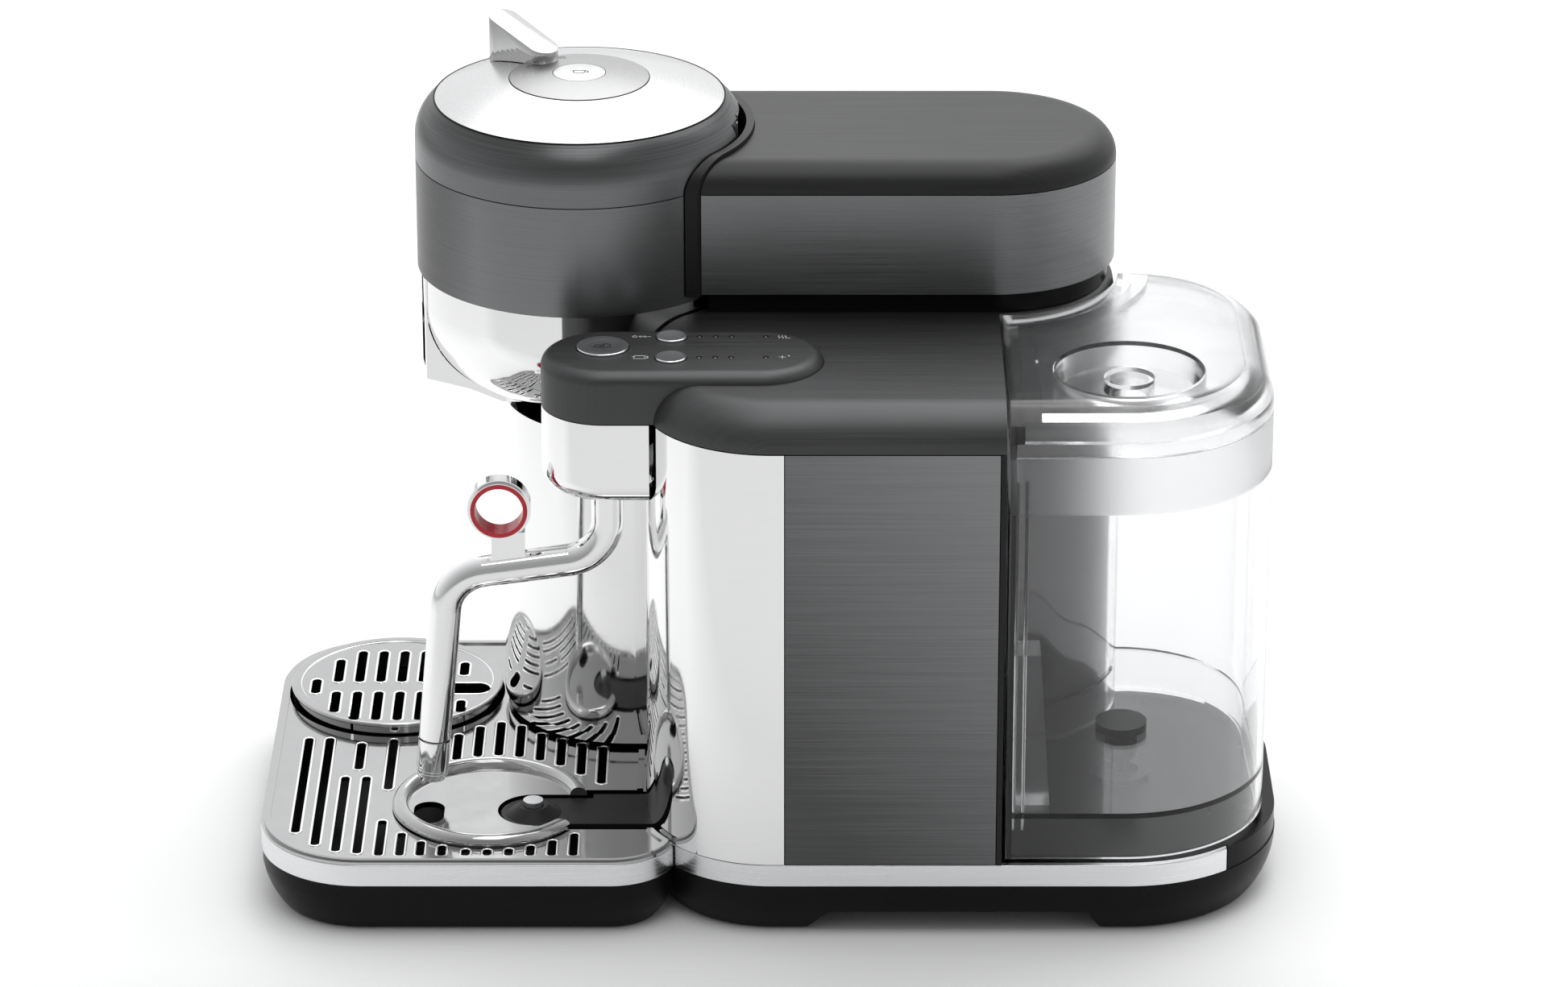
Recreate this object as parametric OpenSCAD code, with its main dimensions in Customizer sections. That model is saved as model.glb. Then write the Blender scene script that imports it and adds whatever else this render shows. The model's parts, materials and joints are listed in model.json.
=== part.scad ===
// Pod coffee machine with a spinning brew head, a steam wand and a side tank.
// Frame: +Z up, front of the machine towards -Y, control side towards +X.
// Origin: middle of the outer box, on the surface that the machine stands on.

/* [Overall] */
// Near side wall of the housing, from the middle plane
near_x = 117.5; // [117:0.5:119]
// Far side wall of the housing, from the middle plane
far_x = 107; // [106:0.5:108]
// Radius of the upright front corner on the control side
corner_r = 53; // [52:0.5:54]
// Height of the flat top of the housing
cap_z = 236; // [235:0.5:237]
// Height of the seam under the rounded cap
seam_z = 218.5; // [217.5:0.5:219]
// Radius of the rounded edge of the cap
cap_round = 17.2; // [16:0.2:17.4]

/* [Base] */
// Height of the black base moulding
base_h = 23.3; // [22:0.1:24]
// Top of the bright strip round the foot
strip_z = 33.2; // [32.6:0.1:33.4]
// Height of the arch between the feet
arch_h = 10.5; // [8:0.5:12]

/* [Brew tower] */
// Distance of the tower's middle line from the middle plane
tower_x = 47.5; // [47:0.5:48]
// Radius of the brew head
head_r = 70; // [69.5:0.5:70]
// Distance of the head's axis in front of the middle
head_y = 80.5; // [80:0.5:81]
// Underside of the head's side band
band_z0 = 241; // [240:0.5:242]
// Seam between the head's side band and its lid
band_z1 = 289.4; // [289:0.1:290]
// Height of the edge of the silver dome
dome_z = 315; // [314:0.5:316]
// Radius of the silver dome
dome_r = 61.4; // [61:0.1:62]
// Half width of the arm
arm_r = 53; // [52.5:0.5:53]
// Middle of the arm's round rear end
arm_y = 94; // [93:0.5:94]
// Top of the arm
arm_z = 301.6; // [300:0.2:302]

/* [Control pod] */
// Middle of the pod
pod_x = 59; // [58.5:0.5:59.5]
// Half width of the pod
pod_r = 26.5; // [26:0.5:27]
// Front of the pod
pod_front = 94.5; // [94:0.5:95]
// Top of the pod
pod_z = 240.5; // [240:0.5:241]
// Underside of the pod
pod_z0 = 182; // [181:0.5:184]
// How far each button travels
press = 1.2; // [0.8:0.1:1.5]

/* [Steam wand] */
// Diameter of the wand's tube
wand_d = 13.6; // [12:0.2:14]
// Outer diameter of the finger ring
ring_d = 26.6; // [25:0.2:28]

/* [Drip tray] */
// Front of the tray
tray_front = 215; // [214:0.5:216]
// Radius of the tray's front corners
tray_r = 44; // [42:1:46]
// Top of the tray plate
plate_z = 36; // [35.5:0.1:36.2]
// Radius of the round cup grate
grate_r = 46.3; // [44:0.1:46.5]
// Radius of the jug rest
jug_r = 43; // [42:0.5:43.5]

/* [Capsule bin] */
// Outer radius of the bin at its foot
bin_r = 55.2; // [54.5:0.1:55.5]
// Underside of the bin
bin_z0 = 42; // [42:0.1:42.6]
// Top of the bin
bin_z1 = 180.5; // [178:0.5:181]

/* [Water tank] */
// Rear of the tank
tank_rear = 209; // [208:0.5:210]
// Top of the tank's wall, under its lid
tank_z1 = 216.8; // [216:0.2:217]
// Wall of the tank
tank_wall = 2.6; // [2.2:0.1:3]

/* [Hidden] */
$fn = 96;
eps = 0.01;
skin = 2;

front_y = 52;
corner_x = near_x - corner_r;
corner_y = corner_r - front_y;
head_x = -tower_x;
far_round_x = arm_r - far_x;
seat_y = 96.5;
base_rear = 215;
rear_near = [51.5, base_rear - 66, 66];
rear_far = [2, base_rear - 60, 60];
deck_z = 17;
tank_near = [55.5, tank_rear - 62, 62];
tank_far = [0.5, tank_rear - 57, 57];
tank_front = 98;
tank_z0 = 36.3;
tank_floor = 54;
column_gap = 1.6;
lid_round = 17;
base_arc = 35.4;
foot_z = 1;
bowl_r = 69.4;
bowl_fillet = 40;
bowl_z0 = 187;
dome_sphere = 193;
dial_r = 29.5;
brew_r = 11;
lever_angle = 221;
hinge_y = -16;
hinge_z = 305;
wand_x = 60;
pivot_y = -67.5;
pivot_z = 198;
jug_c = [63, -118.5];
sensor_c = [70.5, -100];
grate_c = [-52, -164];
grate_z = 41;
recess_c = [67, 148.2];
button_big = [54.8, -68.9, 10.8];
button_far = [43.5, -40.6, 6.4];
button_near = [66.7, -40.6, 6.4];
motor_off = 46;
valve_c = [30, 150];
screw_places = [[-70, 20], [-20, 20], [30, 12], [-70, 70], [96, 14], [60, 80]];
inlet_c = [26, 14];
mast_half = 20;
beam_z = 252;

// ---------- shared shapes ----------

// Rectangle between two corners
module span(x0, x1, y0, y1) {
    translate([x0, y0]) square([x1 - x0, y1 - y0]);
}

// Box between two corners
module block(x0, x1, y0, y1, z0, z1) {
    translate([x0, y0, z0]) cube([x1 - x0, y1 - y0, z1 - z0]);
}

// Upright cylinder between two heights
module post(x, y, r, z0, z1) {
    translate([x, y, z0]) cylinder(r = r, h = z1 - z0);
}

// Plan of the housing above the base, set in by i
module body_plan(i = 0) {
    small = max(12 - i, 1);
    translate([corner_x, corner_y]) circle(corner_r - i);
    for (x = [far_round_x, head_x]) translate([x, arm_y]) circle(arm_r - i);
    translate([i + small - far_x, i + small - front_y]) circle(small);
    span(i - far_x, corner_x, i + small - front_y, arm_y);
    span(i + small - far_x, corner_x, i - front_y, 0);
    span(far_round_x, head_x, arm_y - 10, arm_y + arm_r - i);
    span(0, near_x - i, corner_y, seat_y - i);
}

// Plan of the base: housing and tank, set in by i
module base_plan(i = 0) {
    body_plan(i);
    for (c = [rear_near, rear_far]) translate([c[0], c[1]]) circle(c[2] - i);
    span(rear_far[0], rear_near[0], 100, base_rear - i);
    span(rear_far[0] - rear_far[2] + i, near_x - i, 90, rear_near[1]);
    span(rear_far[0] - rear_far[2] + i, 0, 90, rear_far[1]);
}

// Plan of the tank, set in by i
module tank_plan(i = 0) {
    difference() {
        union() {
            for (c = [tank_near, tank_far]) intersection() {
                translate([c[0], c[1]]) circle(c[2] - i);
                span(-200, 200, c[1] - 1, 300);
            }
            span(tank_far[0], tank_near[0], 110, tank_rear - i);
            span(tank_far[0] - tank_far[2] + i, near_x - i, tank_front + i, tank_near[1]);
            span(tank_far[0] - tank_far[2] + i, 0, tank_front + i, tank_far[1]);
        }
        for (x = [far_round_x, head_x]) translate([x, arm_y]) circle(arm_r + column_gap + i);
        span(-200, head_x, 0, arm_y + arm_r + column_gap + i);
        span(-200, 0, 0, arm_y + 0.1 * arm_r + i);
    }
}

// Plan of the drip tray, set in by i
module tray_plan(i = 0) {
    difference() {
        union() {
            for (x = [tray_r - far_x, near_x - tray_r]) {
                translate([x, tray_r - tray_front]) circle(tray_r - i);
            }
            for (x = [28 - far_x, near_x - 28]) translate([x, -67]) circle(28 - i);
            span(tray_r - far_x, near_x - tray_r, i - tray_front, -60);
            span(28 - far_x, near_x - 28, -100, -39 - i);
            span(i - far_x, near_x - i, tray_r - tray_front, -67);
        }
        body_plan(-0.6 - i);
    }
}

// Half section of a plate of radius r with a rounded upper edge
module rounded_half(r, z0, z1, f) {
    span(0, r, z0, z1 - f);
    span(0, r - f, z0, z1);
    intersection() {
        translate([r - f, z1 - f]) circle(f);
        span(r - f - 1, r, z1 - f - eps, z1);
    }
}

// Bar along Y whose section is a mirrored half section, between two sides
module bar_y(x0, x1, y0, y1) {
    translate([(x0 + x1) / 2, y1, 0]) rotate([90, 0, 0]) linear_extrude(y1 - y0) children();
}

// Quarter turn of a rounded half section round an upright axis
module rim_corner(x, y, a, r, z0, z1, f) {
    translate([x, y, 0]) rotate([0, 0, a]) rotate_extrude(angle = 90) rounded_half(r, z0, z1, f);
}

// Straight rim that faces +X, between two places along Y
module rim_side(x, y0, y1, r, z0, z1, f) {
    translate([x, y1, 0]) rotate([90, 0, 0]) linear_extrude(y1 - y0) rounded_half(r, z0, z1, f);
}

// Solid of the cap: front corner, near side, front and the part beside the arm
module cap_solid(z0, z1) {
    rim_corner(corner_x, corner_y, -90, corner_r, z0, z1, cap_round);
    rim_side(corner_x, corner_y, seat_y, corner_r, z0, z1, cap_round);
    translate([head_x, corner_y, 0]) rotate([90, 0, 90]) linear_extrude(corner_x - head_x) {
        mirror([1, 0]) rounded_half(corner_r, z0, z1, cap_round);
    }
    block(head_x, corner_x, corner_y, seat_y, z0, z1);
    cap_far(z0, z1, 6);
}

// Part of the cap beside and behind the arm, with a small rounded edge
module cap_far(z0, z1, f) {
    rim_corner(far_round_x, arm_y, 90, arm_r, z0, z1, f);
    rim_corner(head_x, arm_y, 0, arm_r, z0, z1, f);
    translate([far_round_x, 0, 0]) mirror([1, 0, 0]) rim_side(0, -40, arm_y, arm_r, z0, z1, f);
    translate([far_round_x, arm_y, 0]) rotate([90, 0, 90]) linear_extrude(head_x - far_round_x) {
        rounded_half(arm_r, z0, z1, f);
    }
    block(far_round_x, head_x, 1, arm_y, z0, z1);
}

// Section of a foot edge that draws in towards the floor: outer edge at x = w
module foot_section(w, deep) {
    intersection() {
        span(w - deep, w, foot_z, base_h);
        translate([w - base_arc, base_h]) circle(base_arc, $fn = 180);
    }
}

module foot_disc(x, y, r) {
    translate([x, y, 0]) rotate_extrude() {
        span(0, r - base_arc / 2, foot_z, base_h);
        foot_section(r, min(r, base_arc));
    }
}

// ---------- foot and housing ----------

module foot_solid() {
    foot_disc(corner_x, corner_y, corner_r);
    foot_disc(far_round_x, arm_y, arm_r);
    foot_disc(rear_near[0], rear_near[1], rear_near[2]);
    foot_disc(rear_far[0], rear_far[1], rear_far[2]);
    translate([0, rear_near[1], 0]) rotate([90, 0, 0]) linear_extrude(rear_near[1] - corner_y) {
        span(0, near_x - base_arc / 2, foot_z, base_h);
        foot_section(near_x, base_arc);
    }
    translate([0, arm_y, 0]) rotate([90, 0, 0]) linear_extrude(arm_y + 40) mirror([1, 0]) {
        span(0, far_x - base_arc / 2, foot_z, base_h);
        foot_section(far_x, base_arc);
    }
    translate([rear_far[0], 0, 0]) rotate([90, 0, 90]) linear_extrude(rear_near[0] - rear_far[0]) {
        span(0, base_rear - base_arc / 2, foot_z, base_h);
        foot_section(base_rear, base_arc);
    }
    translate([-95, 0, 0]) rotate([90, 0, 90]) linear_extrude(corner_x + 95) mirror([1, 0]) {
        span(0, front_y - base_arc / 2, foot_z, base_h);
        foot_section(front_y, base_arc);
    }
    block(far_round_x, 0, 90, arm_y + 30, foot_z, base_h);
}

module arch_cut() {
    for (side = [0, 1]) mirror([side, 0, 0]) translate([62, 0, 0]) {
        rotate([90, 0, 90]) linear_extrude(80) {
            polygon([[15, 0], [24, arch_h], [133, arch_h], [139, 0]]);
        }
    }
}

module base_moulding() {
    color("#151515") difference() {
        union() {
            foot_solid();
            translate([0, 0, base_h]) linear_extrude(strip_z - base_h) base_plan(3.2);
            post(valve_c[0], valve_c[1], 13, strip_z - 1, strip_z + 2.6);
            intersection() {
                translate([0, 0, base_h]) linear_extrude(strip_z - base_h) base_plan(0.4);
                block(-200, 200, 192, 230, 0, strip_z);
            }
        }
        arch_cut();
        post(valve_c[0], valve_c[1], 8, strip_z - 2, strip_z + 3);
        translate([0, 0, deck_z - 3]) linear_extrude(60) intersection() {
            base_plan(12);
            span(-93, 104, -38, 92);
        }
        for (p = screw_places) post(p[0], p[1], 2.05, 7, deck_z);
        translate([inlet_c[0], base_rear - 8, inlet_c[1]]) rotate([-90, 0, 0]) cylinder(r = 7.05, h = 9);
    }
}

module rubber_feet() {
    color("#202020") for (p = [[84, -15], [84, 168], [-20, 178], [-84, -30], [-78, 112]]) {
        post(p[0], p[1], 9, 0, foot_z);
    }
}

module strip_ring(i, deep) {
    difference() {
        base_plan(i);
        base_plan(deep);
        span(-200, 200, 191.5, 230);
    }
}

module chrome_strip() {
    color("#d8d8d8") translate([0, 0, base_h + 0.05]) linear_extrude(strip_z - base_h - 0.05) {
        strip_ring(0, 3.15);
    }
}

// Housing wall of the body plan between two heights, cut to a window
module wall_piece(z0, z1, x0, x1, y0, y1) {
    difference() {
        intersection() {
            translate([0, 0, z0]) linear_extrude(z1 - z0) difference() {
                body_plan();
                body_plan(skin);
            }
            block(x0, x1, y0, y1, z0 - 1, z1 + 1);
        }
        head_clearance();
        bin_window();
    }
}

// Space of the brew head where it sinks into the housing
module head_clearance() {
    post(head_x, -head_y, head_r + 0.8, 184, 330);
}

// Opening of the front wall for the capsule bin
module bin_window() {
    block(head_x - bin_r - 1, head_x + bin_r + 1, -70, -20, 36, 185);
}

module side_panel() {
    color("#4a4a4a") wall_piece(strip_z + 0.3, seam_z - 0.5, 60, 130, 6.4, 94);
}

module front_skin() {
    color("#dcdcdc") difference() {
        wall_piece(strip_z + 0.3, seam_z - 0.5, 7, 130, -60, 6);
        block(wand_x - 14.3, wand_x + 14.3, -60, -44, 191.7, 204.3);
    }
}

module far_panel() {
    color("#4a4a4a") wall_piece(strip_z + 0.3, seam_z - 0.5, -130, -66, -60, 93);
}

module seam_post() {
    color("#1c1c1c") difference() {
        block(8, near_x, 94.4, seat_y, strip_z + 0.2, seam_z - 0.3);
        block(60, 112, 93, 98, 60, 190);
    }
}

module body_cap() {
    color("#4d4d4d") difference() {
        cap_solid(seam_z, cap_z);
        cap_hollow(2.2, seam_z - 5, seam_z + 4);
        cap_hollow(8, seam_z + 3, seam_z + 10);
        cap_hollow(19, seam_z + 9, cap_z - skin);
        head_clearance();
        pod_outline(0.15, 200, 260);
        mast(0.3);
    }
}

// One step of the hollow inside the cap
module cap_hollow(i, z0, z1) {
    translate([0, 0, z0]) linear_extrude(z1 - z0) body_plan(i);
}

module column() {
    color("#2c2c2c") difference() {
        translate([0, 0, strip_z]) linear_extrude(seam_z - strip_z - 0.3) difference() {
            union() {
                for (x = [far_round_x, head_x]) translate([x, arm_y]) circle(arm_r);
                span(far_round_x, head_x, 60, arm_y + arm_r);
            }
            for (x = [far_round_x, head_x]) translate([x, arm_y]) circle(arm_r - 3);
            span(far_round_x, head_x, 0, arm_y + arm_r - 3);
            span(-200, 200, 0, arm_y - 0.6);
        }
    }
}

// Plan of the arm, set in by i
module arm_plan(i = 0) {
    translate([head_x, arm_y]) circle(arm_r - i);
    span(head_x - arm_r + i, head_x + arm_r - i, -60, arm_y);
}

// Round space that the brew head takes out of the arm
module head_round(r) {
    post(head_x, -head_y, r, 180, 340);
}

module arm_plinth() {
    color("#161616") difference() {
        translate([0, 0, cap_z]) linear_extrude(8.8) difference() {
            arm_plan(3);
            arm_plan(9);
        }
        head_round(head_r + 4.2);
    }
}

module arm_shell() {
    color("#484848") difference() {
        translate([0, 0, cap_z + 8.8]) linear_extrude(band_z1 - cap_z - 9.2) difference() {
            arm_plan();
            arm_plan(skin);
        }
        head_round(head_r + 4.2);
    }
}

// Solid of the arm with rounded upper edges
module arm_top(z0, z1, f) {
    for (a = [0, 90]) rim_corner(head_x, arm_y, a, arm_r, z0, z1, f);
    rim_side(head_x, -60, arm_y, arm_r, z0, z1, f);
    translate([head_x, 0, 0]) mirror([1, 0, 0]) rim_side(0, -60, arm_y, arm_r, z0, z1, f);
}

// One step of the hollow inside the arm's cover
module arm_hollow(i, z0, z1) {
    translate([0, 0, z0]) linear_extrude(z1 - z0) arm_plan(i);
}

module arm_cover() {
    color("#505050") difference() {
        arm_top(band_z1, arm_z, arm_z - band_z1 - 0.2);
        arm_hollow(2.6, band_z1 - 1, band_z1 + 3);
        arm_hollow(6, band_z1 + 2, arm_z - 4);
        arm_hollow(11, arm_z - 5, arm_z - skin);
        head_round(head_r + 4.2);
    }
}

module trim_band() {
    color("#262626") intersection() {
        difference() {
            head_round(head_r + 3.9);
            head_round(head_r + 0.6);
            mast(0.3);
        }
        union() {
            block(head_x - arm_r - 1.2, head_x + arm_r + 1.2, -60, 0, cap_z + 8, band_z1 + 2);
            bar_y(2 * head_x, 0, -60, 0) {
                for (m = [0, 1]) mirror([m, 0]) {
                    rounded_half(arm_r + 1.2, band_z1, arm_z + 1.8, arm_z + 1.6 - band_z1);
                }
            }
        }
    }
}

// ---------- brew head ----------

module head_band() {
    color("#484848") difference() {
        post(head_x, -head_y, head_r, band_z0, band_z1 - 0.4);
        post(head_x, -head_y, head_r - 2.4, band_z0 - 1, band_z1 - 3);
        post(head_x, -head_y, 42, band_z0 - 1, band_z1 + 1);
        mast(0.3);
    }
}

// Half section of the bright bowl under the head
module bowl_half(i) {
    span(0, bowl_r - i, bowl_z0 + bowl_fillet, band_z0 + (i > 0 ? 1 : -0.3));
    span(0, bowl_r - bowl_fillet, bowl_z0 + i, bowl_z0 + bowl_fillet + 1);
    intersection() {
        translate([bowl_r - bowl_fillet, bowl_z0 + bowl_fillet]) circle(bowl_fillet - i);
        span(0, bowl_r, bowl_z0 + i, bowl_z0 + bowl_fillet + 1);
    }
}

module bowl() {
    color("#e0e0e0") difference() {
        translate([head_x, -head_y, 0]) rotate_extrude() difference() {
            bowl_half(0);
            bowl_half(skin);
        }
        block(head_x - 16, head_x + 16, -150, -119, 186, 212);
    }
}

// Side outline of the spout housing, in Y and Z
module nose_side(i) {
    polygon([[-150 + i, 200 + i], [-147.5 + i, 195.5 + i], [-128, 190.5 + i], [-114, 184.6 + i],
        [-106, 184.6 + i], [-106, band_z0 + 1], [-150.2 + i, band_z0 + 1]]);
}

module nose() {
    color("#d4d4d4") difference() {
        translate([head_x - 24, 0, 0]) rotate([90, 0, 90]) linear_extrude(48) nose_side(0);
        translate([head_x - 22, 0, 0]) rotate([90, 0, 90]) linear_extrude(44) nose_side(2);
        translate([head_x, -head_y, 0]) rotate_extrude() bowl_half(-0.3);
        block(head_x - 90, head_x + 90, -160, -100, band_z0 - 0.3, band_z0 + 20);
        difference() {
            block(head_x - 30, head_x + 30, -160, -120, 180, 250);
            post(head_x, -head_y + 8, head_r + 7.6, 180, 250);
        }
        post(head_x, -132, 8.2, 180, 215);
    }
}

module coffee_spout() {
    color("#141414") difference() {
        union() {
            post(head_x, -132, 8, 189, 204);
            block(head_x - 12, head_x + 12, -142, -122, 201, 204);
        }
        post(head_x, -132, 3.5, 188, 205);
    }
}

module bin_bay() {
    x0 = head_x - bin_r - 1.4;
    x1 = head_x + bin_r + 1.4;
    color("#1b1b1b") difference() {
        intersection() {
            block(x0 - 0.8, x1 + 0.8, -49.4, 4, strip_z + 0.05, 184);
            linear_extrude(200) body_plan(skin + 0.1);
        }
        block(x0, x1, -51, 2.4, 39.6, 182.6);
        head_clearance();
    }
}

module bin_deck() {
    color("#bdbdbd") difference() {
        union() {
            post(head_x, -61, bin_r - 1.2, plate_z + 1.4, bin_z0 - 0.2);
            block(head_x - bin_r + 1.2, head_x + bin_r - 1.2, -61, -50, plate_z + 1.4, bin_z0 - 0.2);
        }
        block(-200, 200, -49.6, 20, 0, 60);
    }
}

module sensor_arm() {
    color("#181818") difference() {
        union() {
            block(53, 82, -75, -47, 29, plate_z - 0.6);
            post(sensor_c[0], sensor_c[1], 13.6, 29, plate_z - 0.6);
            translate([sensor_c[0], sensor_c[1], plate_z - 0.6]) cylinder(r1 = 12, r2 = 6, h = 3.4);
            block(57, 82, -100, -74, 29, plate_z - 0.6);
        }
        post(sensor_c[0], sensor_c[1], 4.4, 31, 60);
        translate([0, 0, 20]) linear_extrude(30) body_plan(-0.05);
    }
}

// ---------- inner machinery ----------

// Upright and beam that carry the brew head, grown by g
module mast(g = 0) {
    x0 = head_x - mast_half - g;
    x1 = head_x + mast_half + g;
    block(x0, x1, 84 - g, 90 + g, deck_z - 1, beam_z + 3);
    block(x0, x1, -24, 90, beam_z - g, beam_z + 3 + g);
}

module chassis() {
    color("#8f9396") {
        difference() {
            union() {
                block(-92, 103, 8, 84, deck_z - 3, deck_z);
                block(-80, 40, 80, 88, deck_z - 3, deck_z);
            }
            for (p = screw_places) post(p[0], p[1], 2.05, 0, deck_z + 1);
        }
        mast();
        block(head_x - mast_half, head_x + mast_half, -24, -18, 216, beam_z + 1);
        difference() {
            post(head_x, -head_y, 62, 214, 217);
            post(head_x, -head_y, 13.05, 210, 220);
            post(head_x + motor_off, -head_y, 4.2, 210, 220);
        }
    }
}

module pump() {
    color("#9a9a9a") {
        post(80, 55, 20, 40, 96);
        post(80, 55, 12, 96, 128);
        post(80, 55, 5, deck_z, 40.1);
    }
}

module thermoblock() {
    color("#b5b5b0") difference() {
        post(40, 30, 26, 60, 100);
        for (a = [0:90:270]) translate([40, 30, 0]) rotate(a) post(19, 0, 2, 55, 110);
        post(40, 30, 8, 55, 110);
    }
    color("#b5b5b0") post(40, 60, 4, deck_z, 60.1);
    color("#b5b5b0") block(36, 44, 54, 64, 60, 66);
}

module circuit_board() {
    color("#1d5b34") block(-90, -20, 74, 76, 50, 150);
    color("#222222") for (z = [62:22:128]) block(-80, -60, 66, 74, z, z + 12);
    color("#222222") block(-50, -28, 62, 74, 70, 110);
}

module steam_valve() {
    color("#c9a45c") {
        post(pod_x, -30, 9, 196, 206);
        block(pod_x - 12, pod_x + 12, -42, -16, 206, 214);
    }
}

module drum_motor() {
    color("#7d7f82") {
        post(head_x + motor_off, -head_y, 13, 217, 258);
        post(head_x + motor_off, -head_y, 2.5, 199.5, 217);
    }
}

module drum_bearing() {
    color("#a8a8a8") difference() {
        union() {
            post(head_x, -head_y, 13, 206, 217);
            post(head_x, -head_y, 17, 217, 220);
        }
        post(head_x, -head_y, 6.05, 200, 230);
    }
}

module drive_belt() {
    color("#111111") translate([head_x, -head_y, 199.6]) linear_extrude(3.4) difference() {
        belt_path(17.6, 7.6);
        belt_path(16.3, 6.3);
    }
}

// Outline of a belt round the drum wheel and the motor wheel
module belt_path(r1, r2) {
    hull() {
        circle(r1, $fn = 64);
        translate([motor_off, 0]) circle(r2, $fn = 32);
    }
}

module cord_inlet() {
    color("#1a1a1a") difference() {
        translate([inlet_c[0], base_rear - 8, inlet_c[1]]) rotate([-90, 0, 0]) cylinder(r = 7, h = 7.4);
        translate([inlet_c[0], base_rear - 6, inlet_c[1]]) rotate([-90, 0, 0]) cylinder(r = 3.6, h = 20);
    }
}

module screws() {
    color("#b0b0b0") for (p = screw_places) {
        difference() {
            union() {
                post(p[0], p[1], 2, 8, deck_z + 0.1);
                post(p[0], p[1], 4, deck_z, deck_z + 2.4);
            }
            block(p[0] - 3, p[0] + 3, p[1] - 0.5, p[1] + 0.5, deck_z + 1.6, deck_z + 3);
        }
    }
}

// ---------- control pod ----------

// Stadium solid of the pod, grown by g, between two heights
module pod_outline(g, z0, z1) {
    translate([0, 0, z0]) linear_extrude(z1 - z0) pod_plan(g);
}

module pod_plan(g = 0) {
    r = pod_r;
    for (y = [r - pod_front, -4]) translate([pod_x, y]) circle(r + g);
    span(pod_x - r - g, pod_x + r + g, r - pod_front, -4);
}

// Pod-shaped solid with a rounded upper edge
module pod_round(i, z0, z1, f) {
    y0 = pod_r - pod_front;
    for (y = [y0, -4]) translate([pod_x, y, 0]) rotate_extrude() rounded_half(pod_r - i, z0, z1, f);
    bar_y(2 * pod_x, 0, y0, -4) {
        for (m = [0, 1]) mirror([m, 0]) rounded_half(pod_r - i, z0, z1, f);
    }
}

module control_cover() {
    color("#454545") difference() {
        pod_round(0, seam_z, pod_z, 5.5);
        pod_round(skin, seam_z - 1, pod_z - skin, 4);
        for (b = [button_big, button_far, button_near]) post(b[0], b[1], b[2] + 0.35, 220, 250);
        for (x = [button_far[0] - 1, button_near[0] - 1], y = [-29, -22.3, -15.7, -1.5]) {
            post(x, y, 0.9, 220, 250);
        }
    }
}

module pod_shell() {
    z1 = seam_z - 0.4;
    color("#dedede") difference() {
        translate([0, 0, z1 + pod_z0]) mirror([0, 0, 1]) pod_round(0, pod_z0, z1, 9);
        translate([0, 0, z1 + pod_z0]) mirror([0, 0, 1]) {
            pod_round(skin, pod_z0 - 1, z1 - skin, 7);
        }
        block(0, 130, -49.5, 40, 170, 230);
        block(wand_x - 8.2, wand_x + 8.2, -90, -58.5, 175, 192);
        translate([0, 0, 170]) linear_extrude(60) body_plan(-0.3);
    }
}

// Bottom of the button stems, over their switches
stem_z = pod_z - 6.4;

module control_board() {
    color("#20603a") {
        block(41, 77, -80, -8, 229, 230.6);
        for (b = [button_big, button_far, button_near]) {
            post(b[0], b[1], 2.4, 230.6, stem_z - press - 0.5);
        }
    }
}

module button_cap(b, dish) {
    translate([b[0], b[1], 0]) rotate_extrude() difference() {
        union() {
            span(0, b[2], pod_z - 3.4, pod_z + 0.5);
            span(0, b[2] - 0.5, pod_z - 3.4, pod_z + 1);
            translate([b[2] - 0.5, pod_z + 0.5]) circle(0.5);
            span(0, 1.6, stem_z, pod_z);
        }
        translate([0, pod_z + 1 + 60 - dish]) circle(60, $fn = 240);
    }
}

module steam_button() {
    color("#dddddd") button_cap(button_big, 0.5);
}

module foam_button() {
    color("#dddddd") button_cap(button_far, 0.2);
}

module heat_button() {
    color("#dddddd") button_cap(button_near, 0.2);
}

// ---------- head lid ----------

module hinge_pin() {
    color("#b5b5b5") translate([head_x - 14, hinge_y, hinge_z]) {
        rotate([0, 90, 0]) cylinder(r = 1.6, h = 28);
    }
    color("#b5b5b5") for (s = [-1, 1]) {
        block(head_x + s * 12 - 1.6, head_x + s * 12 + 1.6, hinge_y - 2.4, hinge_y + 2.4,
            band_z1 - 0.4, hinge_z + 2);
    }
}

// Half section of the lid's dark outer shell: upright wall, then a rounded shoulder
module lid_half(i) {
    f = 20;
    span(0, head_r - i, band_z1, dome_z - 16.6);
    intersection() {
        span(0, head_r, dome_z - 16.6, dome_z - i);
        union() {
            translate([head_r - f, dome_z - 16.6]) circle(f - i);
            span(0, head_r - f, 0, dome_z);
        }
    }
}

module lid_shell() {
    color("#484848") difference() {
        translate([head_x, -head_y, 0]) rotate_extrude() difference() {
            lid_half(0);
            difference() {
                lid_half(2.2);
                span(0, 100, dome_z - 3, dome_z + 1);
            }
            span(0, dome_r - 3, 200, 400);
            span(dome_r - 4, dome_r + 0.3, dome_z - 1.8, dome_z + 1);
            span(0, 100, 200, band_z1 + 0.05);
        }
        block(head_x - 20, head_x + 20, hinge_y - 4, 0, 280, hinge_z + 3.2);
    }
    color("#484848") for (s = [-1, 1]) difference() {
        translate([head_x + s * 6 - 3.6, 0, 0]) rotate([90, 0, 90]) linear_extrude(7.2) {
            polygon([[-20.2, 302], [-13.6, 302], [-13.6, 308.8], [-18.4, 313], [-20.2, 313]]);
        }
        translate([head_x - 30, hinge_y, hinge_z]) rotate([0, 90, 0]) cylinder(r = 1.65, h = 60);
    }
    color("#484848") translate([head_x, -head_y, 0]) rotate_extrude() {
        span(16.4, 59.9, dome_z - 4.6, dome_z - 2.9);
    }
}

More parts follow.
